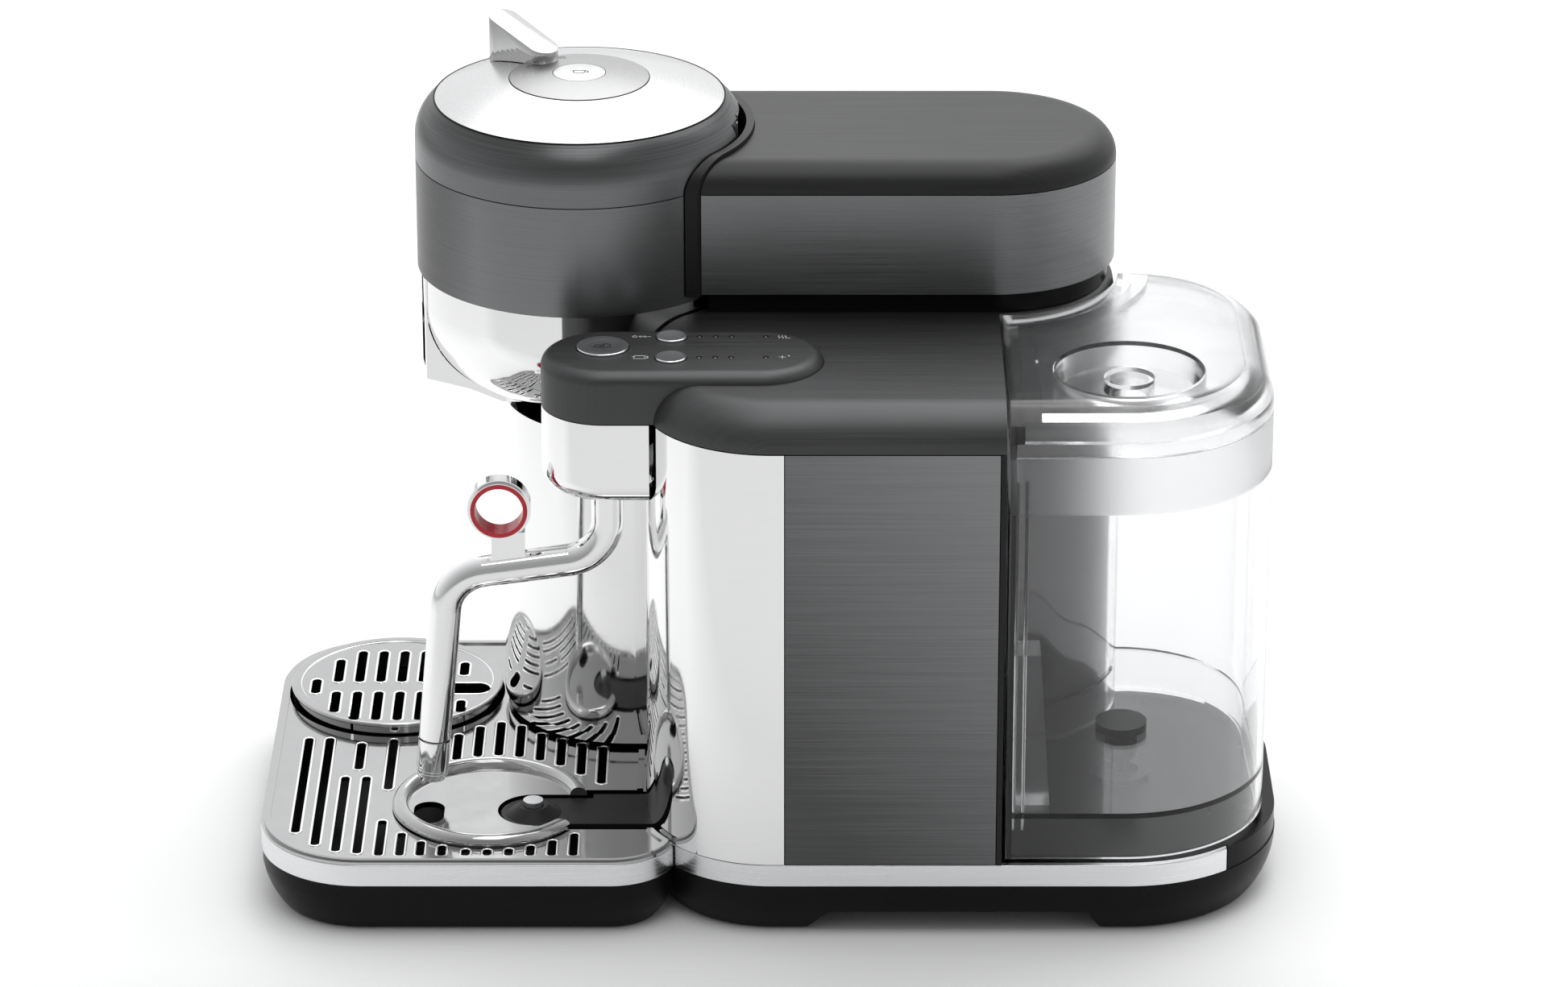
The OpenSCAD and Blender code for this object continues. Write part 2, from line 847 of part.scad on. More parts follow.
// Half section under the sphere of the silver dome
module dome_half(drop) {
    intersection() {
        translate([0, dome_z - sqrt(dome_sphere * dome_sphere - dome_r * dome_r) - drop]) {
            circle(dome_sphere, $fn = 360);
        }
        span(0, dome_r, dome_z - 30, dome_z + 20);
    }
}

module dome() {
    color("#d9d9d9") difference() {
        translate([head_x, -head_y, 0]) rotate_extrude() difference() {
            dome_half(0);
            span(0, 90, 200, dome_z - 1.7);
            difference() {
                dome_half(2.4);
                span(dome_r - 2.6, 90, 200, 400);
            }
            span(0, dial_r + 0.4, 300, 340);
            span(dial_r, dial_r + 4, dome_z + 5, dome_z + 6.2);
        }
    }
}

module dial() {
    color("#cfcfcf") translate([head_x, -head_y, 0]) rotate_extrude() difference() {
        dome_half(-0.3);
        span(dial_r, 200, 200, 400);
        span(0, 200, 200, dome_z + 4.8);
        span(0, brew_r + 0.35, 200, 400);
    }
    color("#cfcfcf") translate([head_x, -head_y, 0]) rotate_extrude() {
        span(14, 16, dome_z - 7, dome_z + 5);
        span(14, 18, dome_z - 7, dome_z - 5.2);
    }
}

module brew_button() {
    color("#d2d2d2") translate([head_x, -head_y, 0]) rotate_extrude() difference() {
        union() {
            dome_half(-0.3);
            span(0, 2.5, dome_z, dome_z + 4);
        }
        span(brew_r, 200, 200, 400);
        span(0, 2.5, 200, dome_z);
        span(2.5, 200, 200, dome_z + 4.8);
    }
}

module lock_lever() {
    r0 = 24.5;
    r1 = 50;
    color("#d8d8d8") translate([head_x, -head_y, 0]) rotate([0, 0, lever_angle]) difference() {
        translate([0, 0, dome_z]) linear_extrude(30) {
            translate([r0, 0]) circle(6.6);
            translate([r1, 0]) circle(6.8);
            polygon([[r0, -6.6], [r1, -6.8], [r1, 6.8], [r0, 6.6]]);
        }
        rotate_extrude() dome_half(-0.33);
        translate([r1 + 6.8, 0, 338.5]) rotate([0, 13.5, 180]) translate([-20, -10, 0]) cube([80, 20, 20]);
    }
}

module capsule_drum() {
    color("#3a3d40") translate([head_x, -head_y, 0]) rotate_extrude() difference() {
        union() {
            span(0, 31, 222, 262);
            span(0, 37, 262, 283);
            span(0, 6, 199, 222);
            span(0, 16, 199.5, 203);
        }
        span(0, 28, 228, 262.1);
        span(0, 31.5, 262, 284);
    }
}

module motor_pulley() {
    color("#b8b8b8") translate([head_x + motor_off, -head_y, 0]) rotate_extrude() difference() {
        span(0, 6, 199.5, 203);
        span(0, 2.55, 190, 210);
    }
}

// ---------- steam wand ----------

// Points of the wand's middle line, in Y and Z
wand_line = [[pivot_y, pivot_z], [pivot_y, 149.5], [-134.6, 140], [-141.6, 66]];
bend_r = 19;
ring_c = [-112.6, 171.2];
sleeve_r = ring_d / 2 - 1.4;

// Part of a ring of tube in the wand's plane, between two directions
module tube_bend(c, a0, a1) {
    translate([wand_x, c[0], c[1]]) rotate([90, 0, 90]) rotate([0, 0, a0]) {
        rotate_extrude(angle = a1 - a0) translate([bend_r, 0]) circle(wand_d / 2);
    }
}

// Straight tube between two points of the wand's plane
module tube_run(p, q, r) {
    v = q - p;
    translate([wand_x, p[0], p[1]]) rotate([-atan2(v[0], v[1]), 0, 0]) {
        cylinder(r = r, h = norm(v));
    }
}

// Direction of one stretch of the wand, as an angle in its plane
function heading(i) = atan2(wand_line[i + 1][1] - wand_line[i][1],
    wand_line[i + 1][0] - wand_line[i][0]);
function along(a) = [cos(a), sin(a)];
// How far a bend starts before its corner
function cutback(i) = bend_r * tan(abs(heading(i) - heading(i - 1)) / 2);

// Round bar across the wand's plane
module cross_bar(c, r, half) {
    translate([wand_x - half, c[0], c[1]]) rotate([0, 90, 0]) cylinder(r = r, h = 2 * half);
}

module steam_wand() {
    h = [for (i = [0:2]) heading(i)];
    a1 = wand_line[1] - along(h[0]) * cutback(1);
    b1 = wand_line[1] + along(h[1]) * cutback(1);
    a2 = wand_line[2] - along(h[1]) * cutback(2);
    b2 = wand_line[2] + along(h[2]) * cutback(2);
    color("#d5d5d5") difference() {
        union() {
            tube_run(wand_line[0], a1, wand_d / 2);
            tube_bend(a1 - [bend_r, 0], h[1] + 90, 0);
            tube_run(b1, a2, wand_d / 2);
            tube_bend(a2 + along(h[1] + 90) * bend_r, h[1] + 270, h[2] + 270);
            tube_run(b2, wand_line[3], wand_d / 2);
            for (p = [a1, b1, a2, b2]) translate([wand_x, p[0], p[1]]) sphere(wand_d / 2 + 0.02);
            cross_bar(wand_line[0], 9, 8);
        }
        cross_bar(wand_line[0], 3.05, 20);
    }
}

module grip_ring() {
    foot = ring_c + [3.6, -ring_d];
    color("#d5d5d5") difference() {
        union() {
            block(wand_x - 4, wand_x + 4, foot[0] - 7, foot[0] + 7, foot[1] + 3, ring_c[1] - 10);
            cross_bar(ring_c, ring_d / 2 - 1, 5);
            cross_bar(ring_c, ring_d / 2, 3.4);
        }
        cross_bar(ring_c, sleeve_r, 20);
        tube_run([-80, 147.73], [-125, 141.36], wand_d / 2 + 0.03);
    }
}

module wand_tip() {
    v = along(heading(2));
    p = wand_line[3];
    color("#cfcfcf") difference() {
        union() {
            tube_run(p, p + v * 1, wand_d / 2 - 0.7);
            tube_run(p + v * 1, p + v * 17, wand_d / 2);
            tube_run(p + v * 17, p + v * 19, wand_d / 2 - 1);
        }
        tube_run(p + v * 12, p + v * 30, 1);
    }
}

module ring_sleeve() {
    color("#b3202a") difference() {
        cross_bar(ring_c, sleeve_r, 5.2);
        cross_bar(ring_c, sleeve_r - 1.8, 20);
    }
}

// Pins and cheeks that carry the head lid and the wand
module pivot_pins() {
    hinge_pin();
    wand_pivot();
}

module wand_pivot() {
    color("#8f9396") {
        cross_bar(wand_line[0], 3, 14);
        for (s = [-1, 1]) {
            block(wand_x + s * 11.5 - 2.5, wand_x + s * 11.5 + 2.5, pivot_y - 6, -40, 192, 204);
        }
        block(wand_x - 14, wand_x + 14, -46, -40, 192, 204);
    }
}

// ---------- drip tray ----------

module tray_disc(x, y, r) {
    translate([x, y, 0]) rotate_extrude() {
        span(0, r - base_arc / 2, foot_z + 0.4, base_h);
        foot_section(r, min(r, base_arc));
    }
}

module tray_solid() {
    for (x = [tray_r - far_x, near_x - tray_r]) tray_disc(x, tray_r - tray_front, tray_r);
    translate([tray_r - far_x, 0, 0]) rotate([90, 0, 90]) {
        linear_extrude(near_x + far_x - 2 * tray_r) mirror([1, 0]) {
            span(60, tray_front - base_arc / 2, foot_z + 0.4, base_h);
            foot_section(tray_front, base_arc);
        }
    }
    translate([0, -67, 0]) rotate([90, 0, 0]) linear_extrude(tray_front - tray_r - 67) {
        span(0, near_x - base_arc / 2, foot_z + 0.4, base_h);
        foot_section(near_x, base_arc);
        mirror([1, 0]) {
            span(0, far_x - base_arc / 2, foot_z + 0.4, base_h);
            foot_section(far_x, base_arc);
        }
    }
    for (x = [28 - far_x, near_x - 28]) translate([x, -67, 0]) rotate_extrude() {
        span(0, 14, foot_z + 0.4, base_h);
        intersection() {
            foot_section(28, 28);
            span(0, 28, 0, base_h);
        }
    }
    block(28 - far_x, near_x - 28, -100, -39, foot_z + 0.4, base_h);
}

module tray_pan() {
    color("#141414") difference() {
        intersection() {
            tray_solid();
            translate([0, 0, -1]) linear_extrude(60) tray_plan(0.4);
        }
        translate([0, 0, 5]) linear_extrude(60) intersection() {
            tray_plan(11);
            span(-200, 200, -300, -66);
        }
    }
}

module tray_band() {
    color("#d8d8d8") translate([0, 0, base_h + 0.05]) linear_extrude(strip_z - base_h) difference() {
        tray_plan(0);
        tray_plan(3);
        span(48, 88, -80, 0);
    }
}

// Long slot with round ends along X
module slot(x0, x1, y, w) {
    for (x = [x0 + w / 2, x1 - w / 2]) translate([x, y]) circle(w / 2, $fn = 24);
    span(x0 + w / 2, x1 - w / 2, y - w / 2, y + w / 2);
}

// Slots of the plate: far end, near end and place along Y of each
front_slots = [[-4, 91, -199.5], [-4, 103, -190.5], [35, 109, -181.5], [35, 111, -172.5],
    [1, 29, -176.5], [-3, 49, -162.8], [78, 113, -163.3]];
rear_slots = [[-8, 19.5, -135], [-16, 16, -126], [-20.5, 15, -117], [-17, 16.5, -108],
    [-9, 20, -99], [-3.5, 25, -90], [1, 34, -81], [4.5, 43, -72]];
near_slots = [[90, 113, -154.5], [98, 113, -146], [102, 113, -137], [105.5, 113, -127],
    [105.8, 113, -118], [105, 113, -109], [102, 113, -100], [97, 113, -91], [90.5, 113, -82]];

module plate_slots() {
    for (s = front_slots) slot(s[0], s[1], s[2], 4.6);
    for (s = rear_slots) slot(s[0], s[1], s[2], 4.6);
    for (s = near_slots) slot(s[0], s[1], s[2], 4.4);
}

module tray_plate() {
    well_r = grate_r + 1;
    color("#cfcfcf") difference() {
        union() {
            translate([0, 0, strip_z + 0.1]) linear_extrude(1.2) tray_plan(0.2);
            translate([0, 0, strip_z + 1.2]) linear_extrude(plate_z - strip_z - 1.2) difference() {
                tray_plan(1.4);
                tray_plan(4);
            }
            translate([0, 0, strip_z + 0.3]) linear_extrude(plate_z - strip_z - 1.1) tray_plan(2);
            intersection() {
                post(grate_c[0], grate_c[1], well_r + 1.4, 26, plate_z - 1);
                translate([0, 0, 20]) linear_extrude(30) tray_plan(4.4);
            }
        }
        translate([0, 0, 20]) linear_extrude(30) plate_slots();
        post(grate_c[0], grate_c[1], well_r, 20, 50);
        post(jug_c[0], jug_c[1], jug_r - 3, 20, 50);
        block(48.5, 87, -86, -20, 20, 50);
    }
}

module jug_rest() {
    color("#d2d2d2") difference() {
        translate([jug_c[0], jug_c[1], 0]) rotate_extrude() {
            span(0, jug_r - 3.2, strip_z + 0.6, plate_z + 0.4);
            translate([jug_r - 5, plate_z + 0.2]) circle(3.6);
        }
        post(sensor_c[0], sensor_c[1], 15, 20, 50);
        block(sensor_c[0] - 15, 86, sensor_c[1], -60, 20, 50);
        for (x = [69, 77]) post(x, -144, 6.5, 20, 50);
        block(69, 77, -150.5, -137.5, 20, 50);
        difference() {
            post(jug_c[0], jug_c[1], jug_r + 3, 20, plate_z - 0.1);
            post(jug_c[0], jug_c[1], jug_r - 3.2, 19, plate_z + 1);
        }
    }
}

module milk_sensor() {
    color("#c8c8c8") {
        post(sensor_c[0], sensor_c[1], 4.2, plate_z + 0.6, plate_z + 5.2);
        post(sensor_c[0], sensor_c[1], 2, plate_z - 3.4, plate_z + 0.6);
    }
}

module cup_grate() {
    color("#cfcfcf") difference() {
        translate([grate_c[0], grate_c[1], 0]) rotate_extrude() {
            span(0, grate_r - 1, grate_z - 2, grate_z - 0.6);
            span(grate_r - 4, grate_r - 1, 29, grate_z);
            translate([grate_r - 1, grate_z - 1]) circle(1);
        }
        for (i = [0:4]) {
            y = -190 + i * 9.3;
            translate([0, 0, 20]) linear_extrude(30) {
                slot(-84 + (i == 0 ? 9 : 0), -50, y, 5);
                slot(-41, -10 - (i == 0 ? 8 : 0), y, 5);
            }
        }
        translate([0, 0, 20]) linear_extrude(30) {
            slot(-54, -38, -199.3, 5);
            slot(-72, -57, -135, 5);
            slot(-32, -18, -135, 5);
        }
        for (y = [-137.5, -128.5]) post(-44, y, 6, 20, 50);
        block(-50, -38, -137.5, -128.5, 20, 50);
    }
}

// ---------- capsule bin ----------

module bin_half(i, top) {
    span(0, 30, bin_z0 + i, top);
    polygon([[0, bin_z0 + i], [bin_r - i, bin_z0 + i], [bin_r - 2 - i, top], [0, top]]);
}

module capsule_bin() {
    color("#dadada") difference() {
        translate([head_x, -61, 0]) rotate_extrude() bin_half(0, bin_z1);
        translate([head_x, -61, 0]) rotate_extrude() bin_half(skin, bin_z1 + 1);
        block(-200, 200, -48, 60, 0, 300);
    }
}

module bin_cup() {
    color("#1d1d1d") difference() {
        union() {
            translate([head_x, -61, 0]) rotate_extrude() bin_half(skin + 0.3, bin_z1 - 4);
            block(head_x - 49, head_x + 49, -61, 0, bin_z0 + 2.3, bin_z1 - 4);
        }
        translate([head_x, -61, 0]) rotate_extrude() bin_half(skin + 2.3, bin_z1 + 1);
        block(head_x - 47, head_x + 47, -61, -2, bin_z0 + 4.3, bin_z1);
        block(head_x - 60, head_x - 49, -48, 60, 0, 300);
        block(head_x + 49, head_x + 60, -48, 60, 0, 300);
    }
}

// ---------- water tank ----------

module water_tank() {
    color("#cfe0e6", 0.4) difference() {
        translate([0, 0, tank_z0]) linear_extrude(tank_z1 - tank_z0) tank_plan(0);
        translate([0, 0, tank_floor + 2.4]) linear_extrude(300) tank_plan(tank_wall);
        translate([0, 0, 0]) linear_extrude(tank_floor) tank_plan(tank_wall);
        post(valve_c[0], valve_c[1], 5, 40, 70);
    }
}

module float_guide() {
    color("#cfe0e6", 0.4) translate([92, 0, 0]) rotate([90, 0, 90]) linear_extrude(16) {
        polygon([[101, 57], [116.5, 57], [112, 125], [101, 125]]);
    }
}

module tank_valve() {
    color("#303030") {
        post(valve_c[0], valve_c[1], 4.6, 42, 60);
        post(valve_c[0], valve_c[1], 11, 56.6, 60);
        post(valve_c[0], valve_c[1], 7, 42, 53.8);
    }
}

// Solid of the lid over the tank's plan, with rounded outer edges
module lid_solid(z0, z1, f) {
    near = tank_near;
    far = tank_far;
    difference() {
        union() {
            rim_corner(near[0], near[1], 0, near[2], z0, z1, f);
            rim_corner(far[0], far[1], 90, far[2], z0, z1, f);
            rim_side(near[0], tank_front, near[1], near[2], z0, z1, f);
            translate([far[0], 0, 0]) mirror([1, 0, 0]) {
                rim_side(0, tank_front, far[1], far[2], z0, z1, f);
            }
            translate([far[0], far[1], 0]) rotate([90, 0, 90]) linear_extrude(near[0] - far[0]) {
                rounded_half(far[2], z0, z1, f);
            }
            block(far[0], near[0], tank_front, far[1], z0, z1);
        }
        for (x = [far_round_x, head_x]) post(x, arm_y, arm_r + column_gap, 100, 300);
        block(-200, head_x, 0, arm_y + arm_r + column_gap, 100, 300);
        block(-200, 0, 0, arm_y + 0.1 * arm_r, 100, 300);
    }
}

// One step of the hollow inside the lid
module lid_hollow(i, z0, z1) {
    translate([0, 0, z0]) linear_extrude(z1 - z0) tank_plan(i);
}

module tank_lid() {
    z0 = tank_z1 + 0.2;
    color("#d8e6ea", 0.4) difference() {
        union() {
            difference() {
                lid_solid(z0, cap_z, lid_round);
                lid_hollow(tank_wall, z0 - 1, z0 + 5);
                lid_hollow(6, z0 + 4, cap_z - 6);
                lid_hollow(13, cap_z - 7, cap_z - 2.2);
            }
            post(recess_c[0], recess_c[1], 31.6, cap_z - 12, cap_z - 0.4);
        }
        translate([recess_c[0], recess_c[1], 0]) rotate_extrude() difference() {
            polygon([[0, cap_z - 9.6], [27.5, cap_z - 9.6], [31.4, cap_z + 1], [0, cap_z + 1]]);
            span(0, 10.5, 200, cap_z - 3.6);
        }
        post(recess_c[0], recess_c[1], 8, cap_z - 13, cap_z - 6);
    }
}

base_moulding();
rubber_feet();
chrome_strip();
side_panel();
front_skin();
far_panel();
seam_post();
body_cap();
column();
arm_plinth();
arm_shell();
arm_cover();
trim_band();
head_band();
bowl();
nose();
coffee_spout();
bin_bay();
bin_deck();
sensor_arm();
chassis();
pump();
thermoblock();
circuit_board();
steam_valve();
drum_motor();
drum_bearing();
drive_belt();
cord_inlet();
screws();
control_cover();
pod_shell();
control_board();
pivot_pins();
lid_shell();
dome();
dial();
brew_button();
lock_lever();
capsule_drum();
motor_pulley();
steam_button();
foam_button();
heat_button();
steam_wand();
grip_ring();
wand_tip();
ring_sleeve();
milk_sensor();
tray_pan();
tray_band();
tray_plate();
jug_rest();
cup_grate();
capsule_bin();
bin_cup();
water_tank();
float_guide();
tank_valve();
tank_lid();
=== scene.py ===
import json
import math

import bmesh
import bpy
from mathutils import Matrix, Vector


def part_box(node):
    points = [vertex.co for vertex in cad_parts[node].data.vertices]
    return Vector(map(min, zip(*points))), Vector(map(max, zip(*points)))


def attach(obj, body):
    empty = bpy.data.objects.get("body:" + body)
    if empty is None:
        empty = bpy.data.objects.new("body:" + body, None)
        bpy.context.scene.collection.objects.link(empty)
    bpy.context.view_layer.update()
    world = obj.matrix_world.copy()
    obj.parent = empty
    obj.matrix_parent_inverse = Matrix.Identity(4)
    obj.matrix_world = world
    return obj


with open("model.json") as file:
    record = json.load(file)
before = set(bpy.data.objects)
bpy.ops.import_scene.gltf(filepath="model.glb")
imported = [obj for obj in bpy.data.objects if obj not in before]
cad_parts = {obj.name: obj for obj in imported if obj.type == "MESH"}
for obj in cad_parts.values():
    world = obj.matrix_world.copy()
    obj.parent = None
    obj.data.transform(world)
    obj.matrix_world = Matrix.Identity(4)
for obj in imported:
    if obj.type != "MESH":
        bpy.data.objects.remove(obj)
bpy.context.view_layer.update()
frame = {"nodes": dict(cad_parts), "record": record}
NODES = frame["nodes"]
MM = 0.001
scene = bpy.context.scene
scene.view_settings.view_transform = "Standard"

# Camera: from the control side, looking down
CAMERA_PLACE = (2.5776, 0.006, 1.2407)
CAMERA_TILT = math.radians(22.9)
CAMERA_LENS = 150.8
CAMERA_SENSOR = 36.0

# Floor: how much painted shade greys it off towards the front and past both ends
FLOOR_HALF = 14.0
FRONT_SHADE = 0.2
END_SHADE = 0.3

# Brightness of the room behind the machine and in front of it
WORLD_REAR = 1.12
WORLD_FRONT = 0.34
WORLD_TINT = (0.985, 0.99, 1.0, 1.0)

# Soft boxes: name, place, target, size, radiance
SOFT_BOXES = (
    ("top_box", (0.05, 0.15, 1.9), (0, 0.0, 0.2), (2.4, 0.9), 2.2),
    ("rear_box", (-1.3, 0.5, 1.7), (-0.5, 0, 0.0), (2.6, 1.4), 1.5),
)

# The brew head's upright axis
TOWER = (-0.0475, -0.0805, 0.0)


# ---------- materials ----------


class Graph:
    """A material whose nodes are added one call at a time."""

    def __init__(self, name):
        self.material = bpy.data.materials.new(name)
        self.material.use_nodes = True
        self.tree = self.material.node_tree
        self.shader = self.tree.nodes["Principled BSDF"]

    def add(self, kind, **values):
        node = self.tree.nodes.new(kind)
        for key, value in values.items():
            if key in node.inputs:
                node.inputs[key].default_value = value
            else:
                setattr(node, key, value)
        return node

    def link(self, out, to):
        self.tree.links.new(out, to)

    def set(self, **values):
        for key, value in values.items():
            self.shader.inputs[key.replace("_", " ")].default_value = value

    def place(self, scale):
        coords = self.add("ShaderNodeTexCoord")
        mapping = self.add("ShaderNodeMapping", Scale=scale)
        self.link(coords.outputs["Object"], mapping.inputs["Vector"])
        return mapping.outputs["Vector"]

    def noise(self, scale, size=1.0, detail=4.0, rough=0.55):
        node = self.add("ShaderNodeTexNoise", Scale=size, Detail=detail, Roughness=rough)
        self.link(self.place(scale), node.inputs["Vector"])
        return node.outputs["Fac"]

    def spread(self, value, low, high, start=0.3, end=0.7):
        node = self.add("ShaderNodeMapRange")
        self.link(value, node.inputs["Value"])
        for key, number in (("From Min", start), ("From Max", end), ("To Min", low), ("To Max", high)):
            node.inputs[key].default_value = number
        return node.outputs["Result"]

    def blend(self, fac, one, two):
        node = self.add("ShaderNodeMix", data_type="RGBA")
        self.link(fac, node.inputs[0])
        node.inputs[6].default_value = one
        node.inputs[7].default_value = two
        return node.outputs[2]

    def bump(self, value, strength, distance):
        node = self.add("ShaderNodeBump", Strength=strength, Distance=distance)
        self.link(value, node.inputs["Height"])
        self.link(node.outputs["Normal"], self.shader.inputs["Normal"])

    def base(self, fac, one, two):
        self.link(self.blend(fac, one, two), self.shader.inputs["Base Color"])

    def rough(self, value, low, high):
        self.link(self.spread(value, low, high), self.shader.inputs["Roughness"])


def grey(value, tint=0.0):
    """A grey, a little blue where tint is above 0."""
    return (value * (1 - tint), value, value * (1 + tint), 1.0)


def tinted(value, tone):
    return (value * tone[0], value * tone[1], value * tone[2], 1.0)


def brushed(name, low, high, grain, rough, bump, metallic=1.0, spec=0.5):
    """Metal with fine brushed lines: grain is how fast the lines change along each axis."""
    g = Graph(name)
    lines = g.noise(grain, detail=3.0)
    patches = g.noise((9, 9, 9), detail=3.0)
    g.base(g.spread(lines, 0, 1, 0.25, 0.75), grey(low, 0.012), grey(high, 0.012))
    mixed = g.add("ShaderNodeMath", operation="ADD")
    g.link(g.spread(lines, -0.07, 0.07), mixed.inputs[0])
    g.link(g.spread(patches, rough - 0.025, rough + 0.025), mixed.inputs[1])
    g.link(mixed.outputs[0], g.shader.inputs["Roughness"])
    g.bump(lines, bump, 0.0002)
    g.set(Metallic=metallic, Specular_IOR_Level=spec)
    return g.material


def mirror_steel(name, base, rough, bump=0.02):
    """Polished steel: nearly a mirror, with a faint wave and fine wiping marks."""
    g = Graph(name)
    wave = g.noise((14, 14, 14), detail=2.0)
    wipes = g.noise((90, 90, 500), detail=5.0)
    g.base(wipes, grey(base - 0.03), grey(base))
    g.rough(wipes, rough - 0.015, rough + 0.03)
    g.bump(wave, bump, 0.001)
    g.set(Metallic=1.0)
    return g.material


def moulded(name, low, high, rough, bump=0.12, size=2600.0, spec=0.5, tone=(1, 1, 1)):
    """Moulded plastic with a fine spark-eroded grain."""
    g = Graph(name)
    grain = g.noise((size, size, size), detail=2.0)
    patches = g.noise((26, 26, 26), detail=4.0)
    g.base(patches, tinted(low, tone), tinted(high, tone))
    g.rough(patches, rough - 0.05, rough + 0.06)
    g.bump(grain, bump, 0.0001)
    g.set(Specular_IOR_Level=spec)
    return g.material


def ringed(name, base, rough, centre, pitch=3200.0, bump=0.08):
    """Metal turned on a lathe: fine rings round an upright line through centre."""
    g = Graph(name)
    coords = g.add("ShaderNodeTexCoord")
    shift = g.add("ShaderNodeVectorMath", operation="SUBTRACT")
    g.link(coords.outputs["Object"], shift.inputs[0])
    shift.inputs[1].default_value = centre
    flat = g.add("ShaderNodeVectorMath", operation="MULTIPLY")
    g.link(shift.outputs[0], flat.inputs[0])
    flat.inputs[1].default_value = (1, 1, 0)
    length = g.add("ShaderNodeVectorMath", operation="LENGTH")
    g.link(flat.outputs[0], length.inputs[0])
    lines = g.add("ShaderNodeTexNoise", noise_dimensions="1D", Scale=pitch, Detail=3.0)
    g.link(length.outputs["Value"], lines.inputs["W"])
    out = lines.outputs["Fac"]
    g.base(out, grey(base - 0.05), grey(base + 0.02))
    g.rough(out, rough - 0.05, rough + 0.06)
    g.bump(out, bump, 0.0001)
    g.set(Metallic=1.0)
    return g.material


# How much rougher a frosted band is than the clear plastic round it
FROST = 0.32


def clear_plastic(name, frost_low=None, frost_high=None, rough=0.02, tint=0.97):
    """Clear moulding, frosted between two heights if they are given."""
    g = Graph(name)
    flow = g.noise((22, 22, 60), detail=3.0)
    g.base(flow, grey(tint - 0.02, 0.004), grey(tint, 0.004))
    fine = g.spread(flow, rough * 0.6, rough * 1.6)
    if frost_low is None:
        g.link(fine, g.shader.inputs["Roughness"])
    else:
        coords = g.add("ShaderNodeTexCoord")
        parts = g.add("ShaderNodeSeparateXYZ")
        g.link(coords.outputs["Object"], parts.inputs[0])
        above = g.add("ShaderNodeMath", operation="GREATER_THAN")
        above.inputs[1].default_value = frost_low
        below = g.add("ShaderNodeMath", operation="LESS_THAN")
        below.inputs[1].default_value = frost_high
        both = g.add("ShaderNodeMath", operation="MULTIPLY")
        g.link(parts.outputs["Z"], above.inputs[0])
        g.link(parts.outputs["Z"], below.inputs[0])
        g.link(above.outputs[0], both.inputs[0])
        g.link(below.outputs[0], both.inputs[1])
        rise = g.add("ShaderNodeMath", operation="MULTIPLY_ADD")
        rise.inputs[1].default_value = FROST
        g.link(both.outputs[0], rise.inputs[0])
        g.link(fine, rise.inputs[2])
        g.link(rise.outputs[0], g.shader.inputs["Roughness"])
    g.bump(flow, 0.03, 0.0006)
    g.set(IOR=1.42, Transmission_Weight=1.0)
    return g.material


def graded(name, low, high, grain, rough, bump, across, start, end):
    """Brushed metal with painted light and shade: its tone goes from low to high along the direction
    across.
    """
    g = Graph(name)
    lines = g.noise(grain, detail=3.0)
    patches = g.noise((9, 9, 9), detail=3.0)
    coords = g.add("ShaderNodeTexCoord")
    reach = g.add("ShaderNodeVectorMath", operation="DOT_PRODUCT")
    g.link(coords.outputs["Object"], reach.inputs[0])
    reach.inputs[1].default_value = across
    painted_grade = g.spread(reach.outputs["Value"], 0.0, 1.0, start, end)
    fine = g.add("ShaderNodeMath", operation="MULTIPLY_ADD")
    g.link(g.spread(lines, -0.5, 0.5, 0.25, 0.75), fine.inputs[0])
    fine.inputs[1].default_value = 0.35
    g.link(painted_grade, fine.inputs[2])
    g.base(fine.outputs[0], grey(low, 0.012), grey(high, 0.012))
    g.rough(patches, rough - 0.025, rough + 0.025)
    g.bump(lines, bump, 0.0002)
    g.set(Metallic=1.0)
    return g.material


def soft_floor():
    """White table top with painted shade that greys it off towards the front and past both ends."""
    g = Graph("studio_floor")
    patches = g.noise((3, 3, 3), detail=3.0)
    coords = g.add("ShaderNodeTexCoord")
    parts = g.add("ShaderNodeSeparateXYZ")
    g.link(coords.outputs["Object"], parts.inputs[0])
    front = g.spread(parts.outputs["X"], 0.0, FRONT_SHADE, 0.14, 0.3)
    aside = g.add("ShaderNodeMath", operation="ABSOLUTE")
    g.link(parts.outputs["Y"], aside.inputs[0])
    ends = g.spread(aside.outputs[0], 0.0, END_SHADE, 0.44, 1.5)
    shade = g.add("ShaderNodeMath", operation="MAXIMUM")
    g.link(front, shade.inputs[0])
    g.link(ends, shade.inputs[1])
    # faint random patches plus the painted shade towards the front and the ends
    patches_plus_painted_shade = g.add("ShaderNodeMath", operation="MULTIPLY_ADD")
    g.link(patches, patches_plus_painted_shade.inputs[0])
    patches_plus_painted_shade.inputs[1].default_value = 0.02
    g.link(shade.outputs[0], patches_plus_painted_shade.inputs[2])
    g.base(patches_plus_painted_shade.outputs[0], grey(0.92), grey(0.0))
    g.set(Roughness=0.6, Specular_IOR_Level=0.2)
    return g.material


# ---------- camera, floor and light ----------


def look(thing, direction):
    """Turns a camera or a light so that it faces along direction."""
    thing.rotation_euler = direction.to_track_quat("-Z", "Y").to_euler()


def make_camera():
    data = bpy.data.cameras.new("camera")
    data.lens = CAMERA_LENS
    data.sensor_width = CAMERA_SENSOR
    camera = bpy.data.objects.new("camera", data)
    camera.location = CAMERA_PLACE
    look(camera, Vector((-math.cos(CAMERA_TILT), 0.0, -math.sin(CAMERA_TILT))))
    scene.collection.objects.link(camera)
    scene.camera = camera


